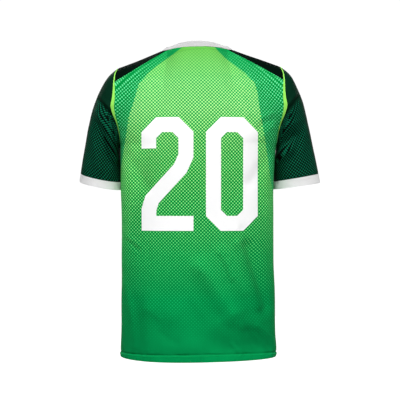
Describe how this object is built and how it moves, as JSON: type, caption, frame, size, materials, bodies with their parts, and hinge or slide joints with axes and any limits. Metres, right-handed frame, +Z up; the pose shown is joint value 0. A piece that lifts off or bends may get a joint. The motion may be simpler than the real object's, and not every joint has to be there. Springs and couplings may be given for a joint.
{
  "type": "football jersey",
  "caption": "Short-sleeved football jersey, worn and hollow, with shoulder yokes, armhole inserts, ribbed crew collar and ribbed cuffs; carries a plain numeral on the back.",
  "frame": {"origin": "in the neck opening, on the shoulder line at mid depth, where the wearer's shoulders carry the jersey", "axes": "+Z up towards the neck, +Y out of the chest, +X towards the wearer's right arm"},
  "size_m": [0.582, 0.2506, 0.7484],
  "materials": {
    "body_knit": "printed polyester knit",
    "yoke_knit": "plain polyester knit",
    "insert_knit": "plain polyester knit",
    "sleeve_knit": "printed polyester knit",
    "rib": "fine rib knit"
  },
  "bodies": {
    "root": {"back_panel": "body_knit", "front_panel": "body_knit", "shoulder_yoke_left": "yoke_knit", "shoulder_yoke_right": "yoke_knit", "armhole_insert_left": "insert_knit", "armhole_insert_right": "insert_knit", "sleeve_left": "sleeve_knit", "sleeve_right": "sleeve_knit", "cuff_left": "rib", "cuff_right": "rib", "collar": "rib"}
  },
  "joints": []
}
